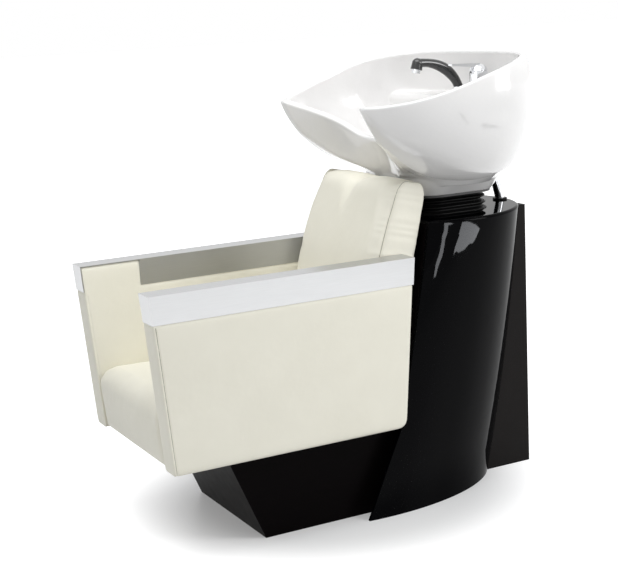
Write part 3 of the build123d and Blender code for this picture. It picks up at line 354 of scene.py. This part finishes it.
def new_piece(name, points, faces, finish):
    """A smooth mesh object with outward normals and one finish."""
    mesh = bpy.data.meshes.new(name)
    mesh.from_pydata([tuple(point) for point in points], [], faces)
    net = bmesh.new()
    net.from_mesh(mesh)
    bmesh.ops.recalc_face_normals(net, faces=net.faces)
    net.to_mesh(mesh)
    net.free()
    mesh.shade_smooth()
    mesh.materials.append(finish)
    piece = bpy.data.objects.new(name, mesh)
    bpy.context.scene.collection.objects.link(piece)
    return piece


def block_skin(name, grid, radii, warp, finish):
    """The skin of a block whose grid lines are given, rounded and then warped."""
    xs, ys, zs = grid
    lows, highs = [line[0] for line in grid], [line[-1] for line in grid]
    points, found, faces = [], {}, []

    def corner(i, j, k):
        if (i, j, k) not in found:
            found[i, j, k] = len(points)
            points.append(warp(rounded((xs[i], ys[j], zs[k]), lows, highs, radii)))
        return found[i, j, k]

    last = [len(line) - 1 for line in grid]
    for axis in range(3):
        a, b = (axis + 1) % 3, (axis + 2) % 3
        for side in (0, last[axis]):
            for i in range(last[a]):
                for j in range(last[b]):
                    ring = []
                    for step_a, step_b in ((0, 0), (1, 0), (1, 1), (0, 1)):
                        index = [0, 0, 0]
                        index[axis], index[a], index[b] = side, i + step_a, j + step_b
                        ring.append(corner(*index))
                    faces.append(ring)
    return new_piece(name, points, faces, finish)


def smooth_step(value, start, end):
    """0 before the start, 1 after the end, and a smooth rise between them."""
    share = min(1.0, max(0.0, (value - start) / (end - start)))
    return share * share * (3 - 2 * share)


def hump(value, middle, width):
    """A bell curve: 1 at the middle, nearly 0 two widths away."""
    return math.exp(-(((value - middle) / width) ** 2))


# %% [markdown]
# Foam pushes its cover outwards everywhere except where the cover is held. Blender's cloth does just that
# when it is given pressure instead of gravity. The result is kept within a few millimetres of the start,
# because the foam inside a salon chair is firm.

# %% Blow up a cushion, then refine it
def swell(piece, reach):
    """Runs the cloth solver with pressure, and lets each point move no further than its reach."""
    start = [vertex.co.copy() for vertex in piece.data.vertices]
    cloth = piece.modifiers.new("foam_pressure", "CLOTH")
    cloth.settings.quality = 4
    cloth.settings.use_pressure = True
    cloth.settings.uniform_pressure_force = 4.0
    cloth.settings.effector_weights.gravity = 0
    scene = bpy.context.scene
    for step in range(1, 21):
        scene.frame_set(step)
    blown = piece.evaluated_get(bpy.context.evaluated_depsgraph_get()).data
    moves = [after.co - before for after, before in zip(blown.vertices, start)]
    piece.modifiers.remove(cloth)
    scene.frame_set(1)
    for vertex, before, move in zip(piece.data.vertices, start, moves):
        limit, length = reach(before), move.length
        held = limit * math.tanh(length / limit) / length if limit and length else 0
        vertex.co = before + move * held
    furthest = max(move.length for move in moves) * 1000
    print(piece.name, "moved up to", round(furthest, 1), "mm before the limit")


def refine(piece):
    """Catmull-Clark subdivision by one level, applied."""
    divide = piece.modifiers.new("refine", "SUBSURF")
    divide.levels = divide.render_levels = 1
    finer = bpy.data.meshes.new_from_object(piece.evaluated_get(bpy.context.evaluated_depsgraph_get()))
    piece.modifiers.remove(divide)
    piece.data = finer
    finer.shade_smooth()


def press(piece, depth):
    """Moves each point inwards along its normal by a depth that depends on its place."""
    normals = [vertex.normal.copy() for vertex in piece.data.vertices]
    for vertex, normal in zip(piece.data.vertices, normals):
        vertex.co -= normal * depth(vertex.co, normal)
    piece.data.update()


def sew_in(piece, stands_for):
    """Says what a cushion rides on, hides the measured piece it stands for, and prints its face count."""
    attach(piece, "stand")
    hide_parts(stands_for)
    print(piece.name, len(piece.data.polygons), "faces")


def seam_line(name, skin, path, radius):
    """A thin cord along the places of a finished skin that are closest to a path."""
    curve = bpy.data.curves.new(name, "CURVE")
    curve.dimensions = "3D"
    curve.bevel_depth = radius
    curve.bevel_resolution = 2
    line = curve.splines.new("POLY")
    line.points.add(len(path) - 1)
    for point, place in zip(line.points, path):
        found, spot, normal, index = skin.closest_point_on_mesh(place)
        point.co = (*(spot - normal * radius * 0.3), 1)
    curve.materials.append(seam_thread)
    seam = bpy.data.objects.new(name, curve)
    bpy.context.scene.collection.objects.link(seam)
    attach(seam, "stand")


# %% [markdown]
# The backrest is one leather cover over foam, leaning back on its board. Its front bulges forward between
# two flat side panels, and at the top the leather is drawn in at the middle and beside each panel, which
# leaves two soft rolls. A panel has a round top and a seam all along its edge. The net is made upright,
# blown up, sewn, and only then leaned back into its place.

# %% Backrest: its shape
print("backrest and seat are made of cells of", net_cell * 1000, "mm")
back_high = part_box("backrest_cushion")[1]
back_half = back_high.x
back_lean = math.radians(13.5)
back_foot = Vector((0, 0.062, 0.3))
back_drop = 0.008
back_height = (back_high.z - back_foot.z) / math.cos(back_lean) - back_drop
back_thick = 0.101
back_seam = back_half - 0.009


def back_depth(z):
    """The side panel's thickness at a height: slimmer towards the top."""
    return back_thick * (1.03 - 0.15 * smooth_step(z / back_height, 0.55, 1.0))


def back_belly(x, z):
    """How far the front stands out of the side panels: most a little above the seat."""
    side = abs(x) / back_half
    across = 1 - smooth_step(side, 0.84, 0.985)
    return across * smooth_step(z, 0.1, 0.3) * (0.031 - 0.011 * smooth_step(z / back_height, 0.6, 1.0))


def back_warp(point):
    """Thins the block towards the top and pushes its front out into the belly."""
    x, y, z = point
    front = smooth_step(-y, back_thick * 0.55, back_thick)
    return Vector((x, y * back_depth(z) / back_thick - front * back_belly(x, z), z))


def back_reach(point):
    """The rear, the sides and the bottom are held by the board, the seams and the seat."""
    front = smooth_step(-point.y, 0.04, 0.08) * smooth_step(point.z, 0.06, 0.2)
    return 0.005 * front * (1 - smooth_step(abs(point.x), back_half - 0.03, back_half - 0.008))


def back_sewing(point, normal):
    """Dents at the top between two rolls, the side panels' seams, and small puckers along them."""
    top = smooth_step(point.z / back_height, 0.78, 0.99)
    dent = hump(point.x, 0, 0.01 + 0.022 * top) + hump(abs(point.x), back_seam - 0.02, 0.008 + 0.014 * top)
    facing = smooth_step(-normal.y + max(0.0, normal.z), 0.2, 0.9) * smooth_step(-point.y, 0.01, 0.05)
    edge = abs(abs(point.x) - back_seam)
    puckers = math.sin(point.z * 260 + math.sin(point.z * 71) * 2.2) * hump(edge, 0.008, 0.012)
    return dent * facing * 0.015 * top + 0.003 * hump(edge, 0, 0.0035) + 0.0005 * puckers


# %% Backrest: the piece and its seams
beside_seam = (-0.008, -0.004, -0.002, 0, 0.002, 0.005)
seam_marks = [sign * (back_seam + step) for sign in (-1, 1) for step in beside_seam]
back_grid = (spaced(-back_half, back_half, net_cell, *seam_marks), spaced(-back_thick, 0, net_cell),
             spaced(0, back_height, net_cell))
back_radii = ((0.009, 0.009), (0.03, 0.03), (0.008, 0.044))
backrest = block_skin("backrest_leather", back_grid, back_radii, back_warp, ivory_leather)
swell(backrest, back_reach)
refine(backrest)
press(backrest, back_sewing)
back_place = Matrix.Translation(back_foot) @ Matrix.Rotation(-back_lean, 4, "X")
backrest.data.transform(back_place)
sew_in(backrest, "backrest_cushion")


def back_seam_path(x):
    """Up the front edge of a side panel, over its top and down behind."""
    lows, highs = [line[0] for line in back_grid], [line[-1] for line in back_grid]
    ring = [(x, -back_thick, z) for z in spaced(0.14, back_height, 0.012)]
    ring += [(x, y, back_height) for y in spaced(-back_thick, 0, 0.006)]
    ring += [(x, 0, z) for z in reversed(spaced(0.4, back_height, 0.012))]
    return [back_place @ back_warp(rounded(point, lows, highs, back_radii)) for point in ring]


for side, x in (("right", back_seam), ("left", -back_seam)):
    seam_line(f"{side}_backrest_seam", backrest, back_seam_path(x), 0.0011)


# %% [markdown]
# The seat cushion fills the space between the arms. Its top is crowned and drops a little towards the
# arms, its front rolls over in one large round nose, and the same leather runs down in front of the
# board as an apron. The apron is made by letting the underside drop just behind the front.

# %% Seat: its shape
seat_low, seat_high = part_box("seat_cushion")
seat_board_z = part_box("seat_board")[1].z
seat_board_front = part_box("seat_board")[0].y
seat_apron_rear = seat_board_front - 0.006
seat_top = seat_high.z


def seat_warp(point):
    """Lifts the underside on to the board, crowns the top and leans the front and the rear."""
    x, y, z = point
    over_board = smooth_step(y, seat_apron_rear, seat_board_front)
    floor_here = seat_low.z + (seat_board_z - seat_low.z) * over_board
    share = (z - seat_low.z) / (seat_top - seat_low.z)
    side = abs(x) / seat_high.x
    top = seat_top - 0.009 * side ** 3 + 0.004 * hump(y, -0.33, 0.2) * (1 - side ** 2)
    near_front = smooth_step(-y, 0.5, 0.6)
    y = y + 0.018 * (1 - share) * near_front - 0.004 * hump(share, 0.55, 0.3) * near_front * (1 - side ** 2)
    behind = smooth_step(y, -0.2, -0.02)
    y = y + behind * (share - 1) * 0.026
    return Vector((x, y, floor_here + share * (top - floor_here)))


def seat_reach(point):
    """The top and the apron may swell, the sides little, the rear and the underside not at all."""
    over_board = smooth_step(point.z, seat_board_z + 0.02, seat_top)
    apron = smooth_step(-point.y, 0.56, 0.6) * smooth_step(point.z, seat_low.z, 0.3) * 0.5
    sides = 1 - smooth_step(abs(point.x), 0.17, 0.21) * 0.8
    return 0.008 * max(over_board, apron) * sides * (1 - smooth_step(point.y, -0.1, -0.03))


def seat_sewing(point, normal):
    """Soft puckers where the leather turns down at the arms, and a faint dip where the client sits."""
    side = seat_high.x - abs(point.x)
    puckers = math.sin(point.y * 190 + math.sin(point.y * 43) * 2.5) * hump(side, 0.012, 0.016)
    creases = math.sin(point.x * 160 + math.sin(point.x * 57) * 2.0) * hump(point.z, seat_top - 0.045, 0.03)
    dip = hump(point.x, 0, 0.11) * hump(point.y, -0.27, 0.14) * smooth_step(normal.z, 0.5, 1)
    return 0.0008 * puckers + 0.0003 * creases * smooth_step(-point.y, 0.55, 0.6) + 0.004 * dip


# %% Seat: the piece
seat_rear = seat_high.y - 0.004
seat_grid = (spaced(seat_low.x, seat_high.x, net_cell),
             spaced(seat_low.y, seat_rear, net_cell, seat_apron_rear, seat_board_front),
             spaced(seat_low.z, seat_top, net_cell))
seat_radii = ((0.016, 0.016), (0.046, 0.01), (0.005, 0.046))
seat = block_skin("seat_leather", seat_grid, seat_radii, seat_warp, ivory_leather)
swell(seat, seat_reach)
refine(seat)
press(seat, seat_sewing)
sew_in(seat, "seat_cushion")


# %% [markdown]
# The arms are boards in a tight leather cover with thin foam under it, so they are nearly flat, and no
# pressure is needed: a shallow crown and a few slow waves are enough. The folded metal cap comes down
# over the top of the cover, which is drawn in under it. A seam runs down each edge of the narrow front.

# %% Arms: their shape
arm_low, arm_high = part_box("right_arm_cover")
cap_low, cap_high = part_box("right_arm_cap")
bare_end = cap_low.y + 0.165
tuck = 0.0028


def arm_front(z):
    """Where the front edge stands at a height: it leans back towards the floor."""
    return cap_low.y + 0.034 * (cap_high.z - z) / (cap_high.z - arm_low.z)


def arm_rear(z):
    """Where the rear edge stands at a height."""
    return cap_high.y - 0.038 * (cap_high.z - z) / (cap_high.z - arm_low.z)


def arm_warp(point):
    """Leans both ends, rounds the lower rear corner, crowns the sides and tucks the top under the cap."""
    x, y, z = point
    share = (y - cap_low.y) / (cap_high.y - cap_low.y)
    front, rear = arm_front(z), arm_rear(z)
    y = front + share * (rear - front)
    foot = 0.022
    past, below = y - (rear - foot), arm_low.z + foot - z
    if past > 0 and below > 0:
        shrink = max(past, below) / math.hypot(past, below)
        y, z = rear - foot + past * shrink, arm_low.z + foot - below * shrink
    height = (z - arm_low.z) / (cap_low.z - arm_low.z)
    full = min(1.0, 6 * share * (1 - share)) * min(1.0, max(0.0, 5 * height * (1 - height)))
    outward = 1 if x > (arm_low.x + arm_high.x) / 2 else -1
    wave = math.sin(y * 21 + z * 9) * math.sin(z * 17 - y * 5)
    x = x + outward * full * (0.0016 + 0.0007 * wave)
    under_cap = smooth_step(z, cap_low.z - 0.003, cap_low.z - 0.0005)
    x = min(x, arm_high.x - tuck * under_cap)
    if y > bare_end:
        x = max(x, arm_low.x + tuck * under_cap)
    y = min(max(y, front + tuck * under_cap), rear - tuck * under_cap)
    return Vector((x, y, z))


def arm_sewing(point, normal):
    """A seam down the front edges, with small puckers beside it."""
    if point.z > cap_low.z - 0.006:
        return 0.0
    behind_front = point.y - arm_front(point.z)
    puckers = math.sin(point.z * 300 + math.sin(point.z * 83) * 2) * hump(behind_front, 0.012, 0.01)
    return 0.0014 * hump(behind_front, 0.0075, 0.0028) + 0.0003 * puckers


# %% Arms: the pieces and their seams
def make_arm(side, sign):
    """An arm's cover. The left one is the right one's mirror picture."""
    by_the_front = [cap_low.y + step * 0.003 for step in range(1, 6)]
    under_the_cap = [cap_low.z + step for step in (-0.003, -0.0005, 0.001)]
    grid = (spaced(arm_low.x, arm_high.x, 0.008),
            spaced(cap_low.y, cap_high.y, 0.012, *by_the_front, bare_end),
            spaced(arm_low.z, cap_high.z - 0.0025, 0.012, *under_the_cap))
    radii = ((0.006, 0.006), (0.006, 0.006), (0.006, 0.003))
    arm = block_skin(f"{side}_arm_leather", grid, radii, arm_warp, ivory_leather)
    refine(arm)
    press(arm, arm_sewing)
    if sign < 0:
        arm.data.transform(Matrix.Scale(-1, 4, (1, 0, 0)))
        arm.data.flip_normals()
    sew_in(arm, f"{side}_arm_cover")
    return arm


right_arm = make_arm("right", 1)
left_arm = make_arm("left", -1)


def arm_seam_path(sign):
    """Down the outer front edge of an arm's cover."""
    heights = reversed(spaced(arm_low.z + 0.006, cap_low.z - 0.005, 0.02))
    return [Vector((sign * arm_high.x, arm_front(z) + 0.0075, z)) for z in heights]


for side, sign, arm in (("right", 1, right_arm), ("left", -1, left_arm)):
    seam_line(f"{side}_arm_seam", arm, arm_seam_path(sign), 0.0008)


# %% [markdown]
# The bellows is moulded rubber: three uneven folds between the deck and the bowl's plate. It is a
# stack of rounded rectangles whose inset follows a smooth line, wall and all.

# %% Bellows
fold_line = [(0.0, 0.0), (0.2, 0.72), (0.36, 0.16), (0.55, 1.0), (0.72, 0.26), (0.87, 0.85), (1.0, 0.12)]
fold_depth = 0.016
rubber_wall = 0.003
bellows_corner = 0.066


def fold_at(share):
    """The inset of the folds at a share of the height, with round crests and valleys."""
    for (low, start), (high, end) in zip(fold_line, fold_line[1:]):
        if share <= high:
            return start + (end - start) * (1 - math.cos(math.pi * (share - low) / (high - low))) / 2
    return fold_line[-1][1]


def rounded_ring(half, front, rear, corner, z, count=30):
    """Points round a level rounded rectangle, centred on x = 0."""
    ring = []
    for x, y, start in ((half, rear, 0), (-half, rear, 90), (-half, front, 180), (half, front, 270)):
        mid_x, mid_y = x - math.copysign(corner, x), y - corner if y == rear else y + corner
        for step in range(count + 1):
            turn = math.radians(start + 90 * step / count)
            ring.append(Vector((mid_x + corner * math.cos(turn), mid_y + corner * math.sin(turn), z)))
    return ring


def make_bellows():
    """Rings up the outside of the folds and down the inside, closed into one wall."""
    low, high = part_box("bellows")
    rows, rings = 48, []
    for wall in (0, 1):
        for row in range(rows + 1):
            share = row / rows if wall == 0 else 1 - row / rows
            inset = fold_depth * fold_at(share) + wall * rubber_wall + 0.0005
            rings.append(rounded_ring(high.x - inset, low.y + inset, high.y - inset, bellows_corner - inset,
                                      low.z + (high.z - low.z) * share))
    count = len(rings[0])
    points = [point for ring in rings for point in ring]
    for index, point in enumerate(points):
        along = 2 * math.pi * (index % count) / count
        point.x *= 1 + 0.004 * math.sin(5 * along + point.z * 160)
    faces = []
    for ring in range(len(rings)):
        after = (ring + 1) % len(rings)
        for index in range(count):
            beside = (index + 1) % count
            here, there = ring * count, after * count
            faces.append((here + index, here + beside, there + beside, there + index))
    bellows = new_piece("bellows_folds", points, faces, folded_rubber)
    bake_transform(bellows)
    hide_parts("bellows")
    print("bellows", len(faces), "faces")


make_bellows()


# %% [markdown]
# ## Edges that catch the light
# Sheet metal, board and ceramic never have knife edges. The measured pieces keep their own shape, and a
# modifier breaks their edges by about a millimetre or softens the whole glaze, which pools on corners.

# %% Soften edges of measured pieces
def break_edges(name, width):
    """A narrow bevel along a measured piece's sharp edges."""
    bevel = nodes[name].modifiers.new("broken_edges", "BEVEL")
    bevel.width = width
    bevel.segments = 2
    bevel.limit_method = "ANGLE"
    bevel.angle_limit = math.radians(40)
    bevel.harden_normals = True


def pool_glaze(name, cell, rounds):
    """Rebuilds a piece as one even skin and smooths it, as melted glaze does."""
    remesh = nodes[name].modifiers.new("glaze_skin", "REMESH")
    remesh.mode = "VOXEL"
    remesh.voxel_size = cell
    remesh.use_smooth_shade = True
    smooth = nodes[name].modifiers.new("glaze_flow", "SMOOTH")
    smooth.factor = 0.5
    smooth.iterations = rounds


for name in ("left_arm_cap", "right_arm_cap"):
    break_edges(name, 0.0008)
for name in ("seat_base", "rear_box", "rear_access_panel"):
    break_edges(name, 0.0012)
pool_glaze("bowl", 0.0022, 2)
print("softened", [name for name in nodes if nodes[name].modifiers])


# %% [markdown]
# ## Studio
# The photograph has a white room: big soft lamps, a pale floor that fades into the background, and a
# soft shadow. The floor adds some white of its own, less of it close to the unit, so that it keeps the
# shadow there and still runs out into plain white.

# %% Floor and backdrop
def floor_glow(material, near, far, reach):
    """A glow that grows from near the unit to far away, seen directly and in mirrors. The low glow near the
    unit is painted shade round it, on top of the real shadow.
    """
    place = add_node(material, "ShaderNodeTexCoord")
    away = add_node(material, "ShaderNodeVectorMath", operation="LENGTH")
    grow = add_node(material, "ShaderNodeMapRange")
    grow.interpolation_type = "SMOOTHSTEP"
    for socket, value in {"From Min": reach[0], "From Max": reach[1], "To Min": near, "To Max": far}.items():
        grow.inputs[socket].default_value = value
    wire(material, place, "Object", away, "Vector")
    wire(material, away, "Value", grow, "Value")
    glow = add_node(material, "ShaderNodeEmission", Color=(1, 1, 1, 1))
    path = add_node(material, "ShaderNodeLightPath")
    seen = add_node(material, "ShaderNodeMath", operation="MAXIMUM")
    wire(material, path, "Is Camera Ray", seen, 0)
    wire(material, path, "Is Glossy Ray", seen, 1)
    strength = add_node(material, "ShaderNodeMath", operation="MULTIPLY")
    wire(material, seen, 0, strength, 0)
    wire(material, grow, "Result", strength, 1)
    wire(material, strength, 0, glow, "Strength")
    return glow


def make_floor():
    mesh = bpy.data.meshes.new("studio_floor")
    size = 40.0
    corners = [(-size, -size, 0), (size, -size, 0), (size, size, 0), (-size, size, 0)]
    mesh.from_pydata(corners, [], [(0, 1, 2, 3)])
    floor = bpy.data.objects.new("studio_floor", mesh)
    bpy.context.scene.collection.objects.link(floor)
    material = new_material("pale_floor", (0.6, 0.6, 0.6), 0.4, Specular_IOR_Level=0.2)
    both = add_node(material, "ShaderNodeAddShader")
    wire(material, shader_of(material), 0, both, 0)
    # The floor glows 0.2 within 0.34 m of the unit and 0.95 beyond 0.72 m: the greyer floor round the unit is
    # painted shade besides its real shadow.
    wire(material, floor_glow(material, 0.2, 0.95, (0.34, 0.72)), 0, both, 1)
    wire(material, both, 0, material.node_tree.nodes["Material Output"], "Surface")
    mesh.materials.append(material)
    print("floor", 2 * size, "m wide")


make_floor()


# %% World
def make_world():
    """White where it is seen directly, in mirrors or through glass, and a dim blue-white light elsewhere."""
    world = bpy.data.worlds.new("white_room")
    bpy.context.scene.world = world
    world.use_nodes = True
    tree = world.node_tree
    background = tree.nodes["Background"]
    path = tree.nodes.new("ShaderNodeLightPath")
    white = tree.nodes.new("ShaderNodeBackground")
    white.inputs["Color"].default_value = (1, 1, 1, 1)
    white.inputs["Strength"].default_value = 1.0
    background.inputs["Color"].default_value = (0.93, 0.96, 1.0, 1)
    background.inputs["Strength"].default_value = 0.36
    choose = tree.nodes.new("ShaderNodeMixShader")
    seen = path.outputs["Is Camera Ray"]
    for other in ("Is Glossy Ray", "Is Transmission Ray"):
        either = tree.nodes.new("ShaderNodeMath")
        either.operation = "MAXIMUM"
        tree.links.new(seen, either.inputs[0])
        tree.links.new(path.outputs[other], either.inputs[1])
        seen = either.outputs[0]
    tree.links.new(seen, choose.inputs["Fac"])
    tree.links.new(background.outputs[0], choose.inputs[1])
    tree.links.new(white.outputs[0], choose.inputs[2])
    tree.links.new(choose.outputs[0], tree.nodes["World Output"].inputs["Surface"])


make_world()


# %% [markdown]
# The lamps are large and soft, but for one small window-like lamp that leaves a patch on the glaze. The two
# highlights in the polished shell come from small bright cards that light nothing else.

# %% Lamps and glints
def soft_lamp(name, place, target, size, power):
    """A rectangular area lamp that points at a target."""
    lamp = bpy.data.lights.new(name, "AREA")
    lamp.shape = "RECTANGLE"
    lamp.size, lamp.size_y = size
    lamp.energy = power
    holder = bpy.data.objects.new(name, lamp)
    holder.location = place
    aim = Vector(target) - Vector(place)
    holder.rotation_euler = aim.to_track_quat("-Z", "Y").to_euler()
    bpy.context.scene.collection.objects.link(holder)


glint_x = 1.15
polished = bpy.data.collections.new("polished")
polished.objects.link(nodes["pedestal_shell"])


def glint(name, outline, strength):
    """A small bright card whose picture lies in the polished shell, and which lights nothing else."""
    mesh = bpy.data.meshes.new(name)
    mesh.from_pydata([(glint_x, y, z) for y, z in outline], [], [tuple(range(len(outline)))])
    card = bpy.data.objects.new(name, mesh)
    bpy.context.scene.collection.objects.link(card)
    material = bpy.data.materials.new(name)
    material.use_nodes = True
    material.node_tree.nodes.remove(shader_of(material))
    glow = add_node(material, "ShaderNodeEmission", Color=(0.94, 0.96, 1, 1), Strength=strength)
    wire(material, glow, 0, material.node_tree.nodes["Material Output"], "Surface")
    mesh.materials.append(material)
    card.visible_camera = card.visible_diffuse = card.visible_shadow = False
    card.light_linking.receiver_collection = polished


soft_lamp("lamp_top", (0.6, -0.4, 3.2), (0, 0, 0.6), (2.6, 2.2), 58)
soft_lamp("lamp_left", (1.2, -3.2, 1.8), (0, -0.2, 0.6), (1.6, 2.2), 18)
soft_lamp("lamp_right", (2.6, 2.4, 1.9), (0, 0.2, 0.7), (1.2, 2.2), 62)
soft_lamp("lamp_window", (1.55, 1.33, 2.2), (0, 0.3, 1.0), (0.28, 0.34), 1.4)
leaf_outline = [(0.61, 0.61), (1.27, 0.36), (1.13, 0.365), (0.86, 0.43), (0.62, 0.5)]
streak_outline = [(0.21, 0.8), (0.416, 0.692), (0.31, 0.735), (0.395, 0.6), (0.41, 0.522), (0.38, 0.53),
                  (0.31, 0.66)]
glint("glint_leaf", leaf_outline, 55)
glint("glint_streak", streak_outline, 52)
print("lamps", len(bpy.data.lights))
